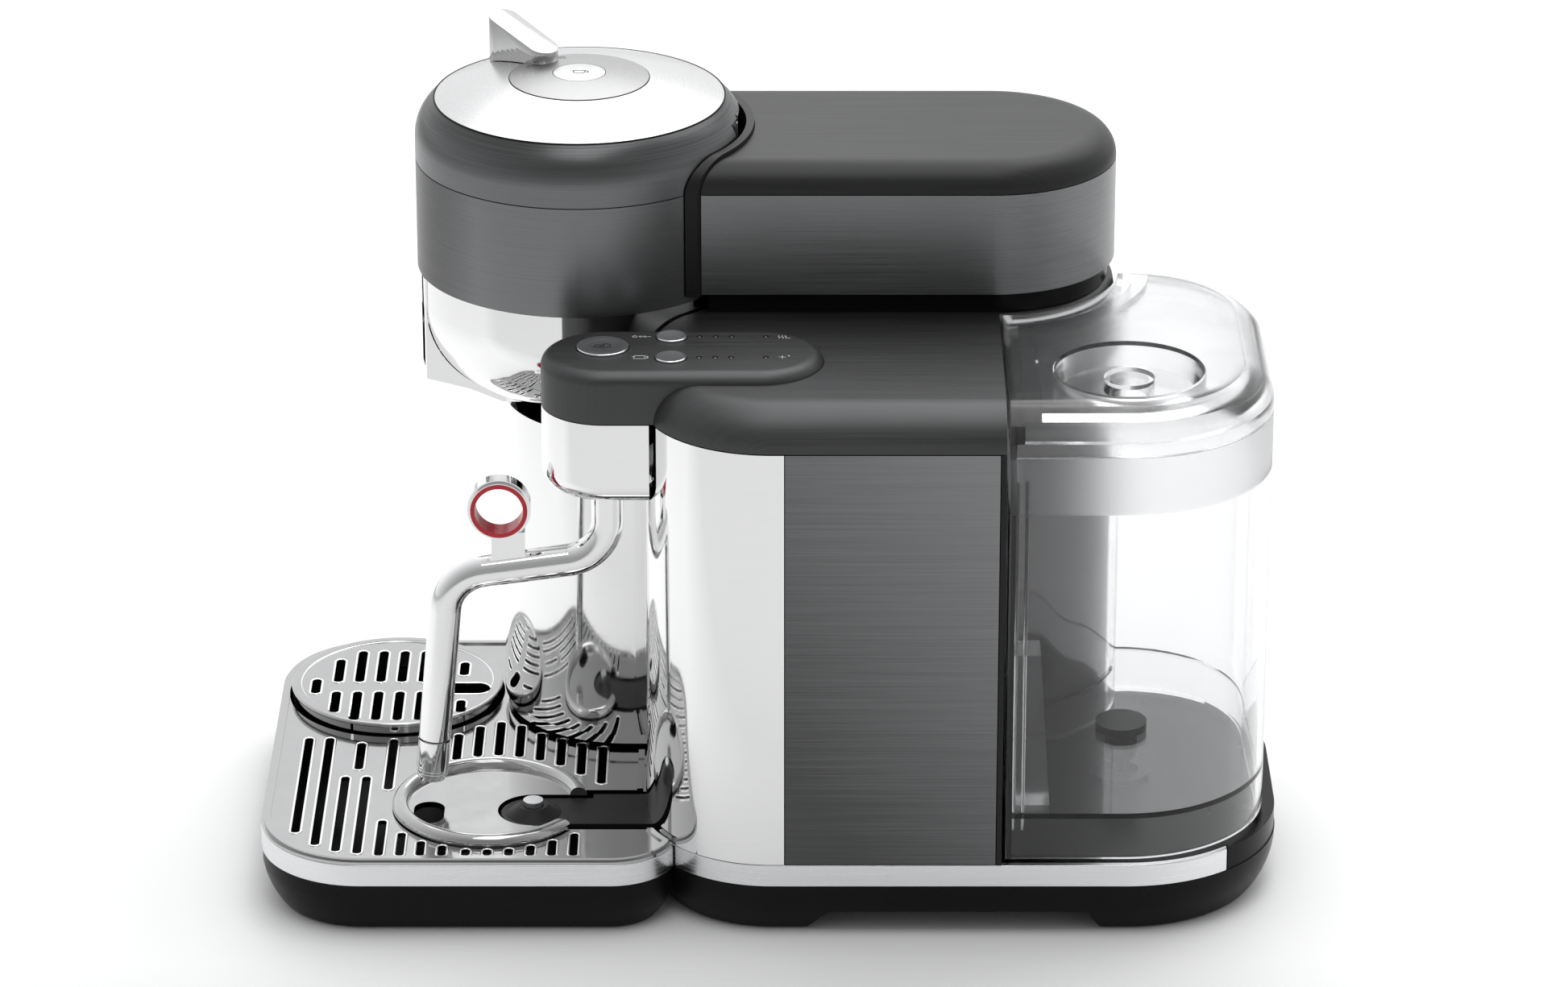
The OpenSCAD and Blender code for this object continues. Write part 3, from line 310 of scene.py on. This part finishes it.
def make_floor():
    mesh = bpy.data.meshes.new("floor")
    corners = [(-FLOOR_HALF, -FLOOR_HALF, 0), (FLOOR_HALF, -FLOOR_HALF, 0)]
    corners += [(FLOOR_HALF, FLOOR_HALF, 0), (-FLOOR_HALF, FLOOR_HALF, 0)]
    mesh.from_pydata(corners, [], [(0, 1, 2, 3)])
    floor = bpy.data.objects.new("floor", mesh)
    scene.collection.objects.link(floor)
    mesh.materials.append(soft_floor())


def make_world():
    """A pale room: bright behind the machine and overhead, dimmer in front of its control side."""
    world = bpy.data.worlds.new("studio")
    scene.world = world
    world.use_nodes = True
    tree = world.node_tree
    coords = tree.nodes.new("ShaderNodeTexCoord")
    parts = tree.nodes.new("ShaderNodeSeparateXYZ")
    tree.links.new(coords.outputs["Generated"], parts.inputs[0])
    rear = tree.nodes.new("ShaderNodeMapRange")
    tree.links.new(parts.outputs["X"], rear.inputs["Value"])
    ends = {"From Min": -0.8, "From Max": 0.9, "To Min": WORLD_REAR, "To Max": WORLD_FRONT}
    for key, number in ends.items():
        rear.inputs[key].default_value = number
    tree.links.new(rear.outputs["Result"], tree.nodes["Background"].inputs["Strength"])
    tree.nodes["Background"].inputs["Color"].default_value = WORLD_TINT


def area_light(name, place, target, size, radiance):
    """A soft box that shines evenly: radiance is how bright its face is."""
    data = bpy.data.lights.new(name, "AREA")
    data.shape = "RECTANGLE"
    data.size, data.size_y = size
    data.energy = radiance * math.pi * size[0] * size[1]
    light = bpy.data.objects.new(name, data)
    light.location = place
    look(light, Vector(target) - Vector(place))
    scene.collection.objects.link(light)


make_camera()
make_world()
make_floor()
for box in SOFT_BOXES:
    area_light(*box)

# ---------- finishes ----------

# How fast brushed lines change along X, Y and Z
WALL_GRAIN = (14, 14, 2600)
TOP_GRAIN = (2600, 14, 14)

dark_wall = brushed("graphite_wall", 0.072, 0.12, WALL_GRAIN, 0.3, 0.1)
# The arm's sides: the same graphite as the walls, with painted light making it lighter
painted_light_arm = brushed("graphite_arm_painted_light", 0.19, 0.27, WALL_GRAIN, 0.33, 0.1)
# The head band: painted shade darkens it over its last few centimetres towards -Y
painted_shade_head = graded("graphite_head_painted_shade", 0.05, 0.22, WALL_GRAIN, 0.33, 0.1, (0, 1, 0), -0.153, -0.122)
dark_top = brushed("graphite_top", 0.075, 0.1, TOP_GRAIN, 0.5, 0.04)
# The arm's top: the same graphite as the cap, with painted shade making it darker
painted_shade_cover = brushed("graphite_cover_painted_shade", 0.028, 0.038, TOP_GRAIN, 0.4, 0.04, metallic=0.5, spec=0.25)
# The lid shell: painted light and shade, darker at its top and lighter lower down its rounding
painted_shade_lid = graded("graphite_lid_painted_shade", 0.045, 0.2, WALL_GRAIN, 0.32, 0.06, (0, 0, -1), -0.318, -0.296)
# The side panel: painted light and shade, darker low down and towards -Y, lighter high up and towards
# +Y
painted_shade_panel = graded("graphite_panel_painted_shade", 0.085, 0.235, WALL_GRAIN, 0.3, 0.1, (0, 0.8, 0.6), 0.05, 0.2)
polished = mirror_steel("polished_steel", 0.9, 0.05)
plate_steel = mirror_steel("tray_steel", 0.5, 0.09, 0.04)
lever_steel = mirror_steel("lever_steel", 0.62, 0.12)
lip_steel = mirror_steel("lip_steel", 0.92, 0.1)
strip_steel = brushed("strip_steel", 0.74, 0.82, (20, 20, 900), 0.24, 0.03)
black = moulded("black_moulding", 0.003, 0.006, 0.3, spec=0.12)
dark_plastic = moulded("dark_moulding", 0.008, 0.014, 0.42, spec=0.25)
rubber = moulded("rubber", 0.012, 0.02, 0.75, 0.25, 1500.0)
clear = clear_plastic("clear_tank", 0.1917, 0.2166)
clear_lid = clear_plastic("clear_lid", rough=0.14, tint=0.93)
frosted = clear_plastic("frosted_guide", rough=0.3, tint=0.9)
column_grey = moulded("column_grey", 0.045, 0.075, 0.33, 0.06, spec=0.6)
dome_steel = ringed("satin_dome", 0.66, 0.25, TOWER)
dial_steel = ringed("satin_dial", 0.38, 0.3, TOWER, bump=0.16)
steel = brushed("plain_steel", 0.5, 0.6, (300, 300, 300), 0.35, 0.05)
alloy = moulded("cast_alloy", 0.36, 0.42, 0.5, 0.3, 900.0)
brass = brushed("brass_body", 0.5, 0.6, (300, 300, 300), 0.3, 0.05)
board = moulded("board_green", 0.3, 0.4, 0.45, tone=(0.06, 0.3, 0.12))
red = moulded("red_ring", 0.75, 0.95, 0.28, 0.05, tone=(0.6, 0.012, 0.03))

FINISHES = {
    "dark_metal": dark_wall,
    "polished": polished,
    "satin": strip_steel,
    "black_plastic": black,
    "dark_plastic": dark_plastic,
    "clear": clear,
    "red": red,
    "rubber": rubber,
    "steel": steel,
    "alloy": alloy,
    "brass": brass,
    "board": board,
}
SPECIAL = {
    "body_cap": dark_top,
    "side_panel": painted_shade_panel,
    "arm_cover": painted_shade_cover,
    "arm_shell": painted_light_arm,
    "head_band": painted_shade_head,
    "control_cover": dark_top,
    "lid_shell": painted_shade_lid,
    "dome": dome_steel,
    "dial": dial_steel,
    "brew_button": dome_steel,
    "lock_lever": lever_steel,
    "tray_plate": plate_steel,
    "jug_rest": plate_steel,
    "cup_grate": plate_steel,
    "tank_lid": clear_lid,
    "float_guide": frosted,
    "column": column_grey,
}


# Width of the rounding on the edges of some nodes
EDGE = {
    "tray_plate": 0.001,
    "cup_grate": 0.0008,
    "jug_rest": 0.0005,
    "chrome_strip": 0.0004,
    "tray_band": 0.0005,
    "lock_lever": 0.0012,
    "base_moulding": 0.0006,
    "tray_pan": 0.0006,
}
# Nodes whose faces keep their own flat shading between the rounded edges
HARD = {"lock_lever"}
WELD = 0.00001
FLAT_ANGLE = math.radians(0.4)
SHARP_ANGLE = math.radians(32.0)


def soften(node, width):
    """Rounds a CAD node's sharp edges by a small amount."""
    weld = node.modifiers.new("weld", "WELD")
    weld.merge_threshold = WELD
    flat = node.modifiers.new("flat", "DECIMATE")
    flat.decimate_type = "DISSOLVE"
    flat.angle_limit = FLAT_ANGLE
    bevel = node.modifiers.new("bevel", "BEVEL")
    bevel.width = width
    bevel.segments = 2
    bevel.limit_method = "ANGLE"
    bevel.angle_limit = SHARP_ANGLE
    bevel.use_clamp_overlap = True
    for face in node.data.polygons:
        face.use_smooth = True
    if node.name in HARD:
        bevel.harden_normals = True
        return
    shade = node.modifiers.new("shade", "WEIGHTED_NORMAL")
    shade.keep_sharp = False
    shade.weight = 100


for part in frame["record"]["subparts"]:
    node = NODES[part["node"]]
    finish = SPECIAL.get(part["node"], FINISHES[part["material_slot"]])
    node.data.materials.clear()
    node.data.materials.append(finish)
    if part["node"] in EDGE:
        soften(node, EDGE[part["node"]])


# ---------- small pieces ----------

UPRIGHT = Vector((0, 0, 1))
ink = moulded("dark_print", 0.012, 0.02, 0.5)
pale_ink = moulded("pale_print", 0.5, 0.62, 0.5)
seal = moulded("seal_black", 0.004, 0.008, 0.5, spec=0.15)
lens = moulded("lamp_lens", 0.25, 0.35, 0.2, 0.02)


def add_piece(name, verts, faces, finish, body):
    """Adds a smooth mesh that moves with a body."""
    mesh = bpy.data.meshes.new(name)
    mesh.from_pydata([tuple(v) for v in verts], [], faces)
    mesh.update()
    piece = bpy.data.objects.new(name, mesh)
    scene.collection.objects.link(piece)
    mesh.materials.append(finish)
    for face in mesh.polygons:
        face.use_smooth = True
    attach(piece, body)


def tube_mesh(path, radius, closed, sides, squash, up):
    """Vertices and faces of a tube along a path, flattened along up by squash."""
    path = [Vector(p) for p in path]
    count = len(path)
    verts, faces = [], []
    for i, point in enumerate(path):
        before = path[i - 1] if (closed or i) else point
        after = path[(i + 1) % count] if (closed or i < count - 1) else point
        along = (after - before).normalized()
        side = along.cross(up).normalized()
        if side.length < 0.5:
            side = along.cross(Vector((1, 0, 0))).normalized()
        over = side.cross(along).normalized()
        for k in range(sides):
            turn = 2 * math.pi * k / sides
            out = side * (radius * math.cos(turn))
            verts.append(point + out + over * (radius * squash * math.sin(turn)))
    for i in range(count if closed else count - 1):
        j = (i + 1) % count
        for k in range(sides):
            m = (k + 1) % sides
            faces.append((i * sides + k, j * sides + k, j * sides + m, i * sides + m))
    if not closed:
        faces.append(tuple(range(sides)))
        faces.append(tuple(reversed(range((count - 1) * sides, count * sides))))
    return verts, faces


def join_tubes(name, paths, radius, finish, body, squash=1.0, sides=8, up=UPRIGHT):
    """One piece from tubes along several (points, closed) paths."""
    verts, faces = [], []
    for points, closed in paths:
        more_verts, more_faces = tube_mesh(points, radius, closed, sides, squash, up)
        shift = len(verts)
        verts += more_verts
        faces += [tuple(n + shift for n in face) for face in more_faces]
    add_piece(name, verts, faces, finish, body)


def lathe(name, centre, profile, finish, body, slot, axis=UPRIGHT, steps=160, closed=True):
    """Turns a profile of (radius, height) pairs round an axis through centre."""
    side = axis.orthogonal().normalized()
    over = axis.cross(side)
    verts, faces = [], []
    count = len(profile)
    for i in range(steps):
        turn = 2 * math.pi * i / steps
        out = side * math.cos(turn) + over * math.sin(turn)
        verts += [Vector(centre) + out * r + axis * h for r, h in profile]
    for i in range(steps):
        j = (i + 1) % steps
        for k in range(count if closed else count - 1):
            m = (k + 1) % count
            faces.append((i * count + k, j * count + k, j * count + m, i * count + m))
    add_piece(name, verts, faces, finish, body)


def ring(name, centre, inner, outer, low, high, body):
    """A flat black ring round an upright axis."""
    profile = [(inner, low), (outer, low), (outer, high), (inner, high)]
    lathe(name, centre, profile, seal, body, "dark_plastic")


# ---------- printed marks ----------

# The domed top that the lid, the dial and the brew button share
DOME_SPHERE = 0.193
DOME_R = 0.0614
DOME_Z = 0.315
DIAL_R = 0.0295
BREW_R = 0.011


def dome_height(lift):
    """Height of the domed top over a point, raised by lift."""
    base = DOME_Z - math.sqrt(DOME_SPHERE ** 2 - DOME_R ** 2)

    def height(x, y):
        from_axis = (x - TOWER[0]) ** 2 + (y - TOWER[1]) ** 2
        return base + math.sqrt(DOME_SPHERE ** 2 - from_axis) + lift

    return height


def flat_height(z):
    return lambda x, y: z


def arc(cx, cy, r, start, end, steps=14):
    """Points of an arc between two angles in degrees."""
    turns = [math.radians(start + (end - start) * i / steps) for i in range(steps + 1)]
    return [(cx + r * math.cos(t), cy + r * math.sin(t)) for t in turns]


# Drawings, in millimetres round their own middle. They are read from +X, so their top is at -X.
LOCK_BODY = [(-1.6, -1.9), (1.6, -1.9), (1.6, 0.3), (-1.6, 0.3)]
PADLOCK = [LOCK_BODY, arc(0, 0.3, 1.05, 0, 180)]
OPEN_LOCK = [LOCK_BODY, arc(0, 0.9, 1.05, 0, 180) + [(-1.05, 0.3)]]
CUP = [
    [(-2.6, 1.4), (-2.2, -1.2), (-1.4, -2.0), (1.4, -2.0), (2.2, -1.2), (2.6, 1.4)],
    arc(2.7, -0.1, 1.1, 80, -80),
    [(-2.6, 1.4), (2.6, 1.4)],
]
STEAM = [
    [(-4.4, -0.9), (4.4, -0.9)],
    arc(-2.0, 0.4, 1.3, -60, 220),
    arc(1.4, 0.9, 1.8, -60, 220),
    [(0.4, -3.4), (0.4, 2.6)],
]
JUG = [
    [(-2.0, 1.6), (-2.4, -1.6), (2.4, -1.6), (2.0, 1.6), (-2.0, 1.6)],
    arc(2.3, 0.0, 1.2, 75, -75),
    [(-3.2, 0.9), (-2.1, 0.2)],
]
FROTH = [arc(x, 0, r, 0, 360) for x, r in ((-2.4, 0.9), (0, 0.6), (1.8, 0.6))]
FROTH += [[(2.7, 0), (4.4, 0)]]
HEAT = [[(x, -1.6), (x + 0.5, -0.4), (x - 0.3, 0.5), (x, 1.7)] for x in (-1.6, -0.2, 1.2)]
HEAT += [[(2.0, -1.6), (3.2, -1.0)]]
SPARK = [
    [(-2.2, 0), (-0.6, 0), (0.8, 0)],
    [(-0.7, -1.5), (-0.7, 1.5)],
    [(1.4, 1.4), (2.6, 1.4)],
    [(2.0, 0.8), (2.0, 2.0)],
]


def icon(name, drawing, origin, height, width, finish, body):
    """Lays a drawing on a surface as fine raised lines; width is in millimetres."""
    paths = []
    for line in drawing:
        closed = math.dist(line[0], line[-1]) < 1e-6
        places = [(origin[0] - y * MM, origin[1] + x * MM) for x, y in line]
        points = [(x, y, height(x, y)) for x, y in places]
        paths.append((points[:-1] if closed else points, closed))
    join_tubes(name, paths, width * MM, finish, body, squash=0.35, sides=6)


def on_dial(degrees):
    """Place of a mark on the dial."""
    turn = math.radians(degrees)
    return (TOWER[0] + MARK_RING * math.cos(turn), TOWER[1] + MARK_RING * math.sin(turn))


def middle(node):
    """X and Y of the middle of a node's box."""
    low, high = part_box(node)
    return ((low.x + high.x) / 2, (low.y + high.y) / 2)


MARK_RING = 0.0235
dial_print = dome_height(0.0003)
icon("dial_lock_mark", PADLOCK, on_dial(243), dial_print, 0.2, ink, "lock")
icon("dial_open_mark", OPEN_LOCK, on_dial(200), dial_print, 0.2, ink, "lock")
icon("brew_cup_mark", CUP, TOWER, dial_print, 0.26, ink, "brew_key")

steam_print = flat_height(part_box("steam_button")[1].z - 0.0004)
icon("steam_mark", STEAM, middle("steam_button"), steam_print, 0.42, ink, "steam_key")

# Marks on the pod: name, drawing, place and half the line's width
pod_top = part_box("control_cover")[1].z
pod_print = flat_height(pod_top + 0.00002)
near_row = middle("heat_button")[0]
far_row = middle("foam_button")[0]
POD_MARKS = (
    ("jug_mark", JUG, (near_row - 0.001, -0.0535), 0.24),
    ("froth_mark", FROTH, (far_row - 0.001, -0.0535), 0.2),
    ("heat_mark", HEAT, (far_row - 0.0005, 0.0055), 0.2),
    ("spark_mark", SPARK, (near_row - 0.0012, 0.006), 0.2),
)
for name, drawing, origin, width in POD_MARKS:
    icon(name, drawing, origin, pod_print, width, pale_ink, "housing")

# ---------- lamps ----------

LAMP_Y = (-0.029, -0.0223, -0.0157, -0.0015)
LAMP_OFF_ROW = 0.001
LENS_PROFILE = (
    (0.00001, -0.0001),
    (0.0004, -0.00016),
    (0.0007, -0.0004),
    (0.0007, -0.0015),
    (0.00001, -0.0015),
)
RIM_PROFILE = ((0.00095, -0.0001), (0.00105, 0.0001), (0.0013, 0.0001), (0.0014, -0.0001))


def lamp(tag, centre):
    """A lamp's lens and the dark rim round it."""
    on_pod = ("housing", "dark_metal")
    lathe(f"lamp_{tag}", centre, LENS_PROFILE, lens, *on_pod, steps=20, closed=False)
    lathe(f"lamp_rim_{tag}", centre, RIM_PROFILE, seal, *on_pod, steps=24)


for row, x in (("near", near_row), ("far", far_row)):
    for i, y in enumerate(LAMP_Y):
        lamp(f"{row}_{i}", (x - LAMP_OFF_ROW, y, pod_top))

# ---------- lips, seams and rings ----------

# Slotted plates: piece, node, body and the height of the slots' edges
LIPPED = (
    ("tray_lips", "tray_plate", "tray", 0.0352),
    ("grate_lips", "cup_grate", "grate", 0.0404),
)
LIP_R = 0.0006
LONGEST_SLOT = 0.12
SHORTEST_SLOT = 0.003
WIDEST_GAP = 0.004


def top_edges(mesh, height):
    """Edges at a height where a flat top meets an upright wall, in the mesh's order."""
    found = []
    for edge in mesh.edges:
        level = all(abs(v.co.z - height) < 0.0001 for v in edge.verts)
        if level and len(edge.link_faces) > 1:
            slopes = sorted(abs(face.normal.z) for face in edge.link_faces)
            if slopes[0] < 0.5 and slopes[-1] > 0.9:
                found.append(edge)
    return found


def rim_loops(node, height):
    """Closed loops of top edges round the slots of a CAD node."""
    mesh = bmesh.new()
    mesh.from_mesh(node.data)
    bmesh.ops.remove_doubles(mesh, verts=mesh.verts, dist=WELD)
    ordered = top_edges(mesh, height)
    edges = set(ordered)

    def walk(at):
        points = []
        while at:
            points.append(at.co.copy())
            ahead = [e for e in at.link_edges if e in edges]
            at = ahead[0].other_vert(at) if ahead else None
            edges.difference_update(ahead[:1])
        return points

    loops = []
    for edge in ordered:
        if edge not in edges:
            continue
        edges.discard(edge)
        there = walk(edge.verts[1])
        back = walk(edge.verts[0])
        loop = back[::-1] + there
        size = max(max(p[axis] for p in loop) - min(p[axis] for p in loop) for axis in (0, 1))
        gap = (loop[0] - loop[-1]).length
        if gap < WIDEST_GAP and SHORTEST_SLOT < size < LONGEST_SLOT:
            if gap < 2 * WELD:
                loop.pop()
            loops.append(loop)
    mesh.free()
    return loops


# Rolled lips round the slots of the tray and the grate
for name, node, body, height in LIPPED:
    paths = [(loop, True) for loop in rim_loops(NODES[node], height)]
    join_tubes(name, paths, LIP_R, lip_steel, body, squash=0.7)

# Dark seams round the dome, the dial and the brew button
SEAM_HALF = 0.0003
SEAM_DEEP = 0.0006
on_dome = dome_height(0.00004)
SEAMS = (
    ("dome_seam", DOME_R + 0.0002, "head_lid"),
    ("dial_seam", DIAL_R + 0.0001, "lock"),
    ("brew_seam", BREW_R + 0.00015, "lock"),
)
for name, radius, body in SEAMS:
    top = on_dome(TOWER[0] + radius, TOWER[1]) if radius < DOME_R else DOME_Z + 0.0001
    centre = (TOWER[0], TOWER[1], top)
    ring(name, centre, radius - SEAM_HALF, radius + SEAM_HALF, -SEAM_DEEP, 0, body)

# Dark seals in the seams over and under the head band
HEAD_R = 0.070
BAND_HIGH = 0.0481
band_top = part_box("head_band")[1].z
head_seam = (TOWER[0], TOWER[1], band_top)
bowl_seam = (TOWER[0], TOWER[1], band_top - BAND_HIGH)
ring("head_seal", head_seam, HEAD_R - 0.003, HEAD_R - 0.0005, 0, 0.00035, "housing")
ring("bowl_seal", bowl_seam, HEAD_R - 0.004, HEAD_R - 0.0009, -0.0002, 0.0002, "housing")

# Clear ribs down the inside of the tank's front edge
RIB_R = 0.0008
RIB_INSET = 0.0042
RIB_SHORT = 0.012
tank_low, tank_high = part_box("water_tank")
for i, inset in enumerate((0.0034, 0.0072)):
    x, y = tank_high.x - RIB_INSET, tank_low.y + inset
    run = [(x, y, tank_low.z + RIB_SHORT), (x, y, tank_high.z - RIB_SHORT)]
    across = Vector((0, 1, 0))
    join_tubes(f"tank_rib_{i}", [(run, False)], RIB_R, clear_lid, "tank", up=across)

# Rings at the joint of the wand's tip: distance down the wand, radius and finish
WAND_END = Vector((0.060, -0.1416, 0.066))
WAND_DOWN = Vector((0, -0.007, -0.074)).normalized()
TIP_RINGS = ((0.0004, 0.00665, seal), (0.0145, 0.0069, strip_steel), (0.0158, 0.0069, strip_steel))
for i, (down, radius, finish) in enumerate(TIP_RINGS):
    inner = radius - 0.0006
    profile = [(inner, -0.0003), (radius, -0.00018), (radius, 0.00018), (inner, 0.0003)]
    centre = WAND_END + WAND_DOWN * down
    lathe(f"tip_ring_{i}", centre, profile, finish, "wand", "satin", axis=WAND_DOWN, steps=64)
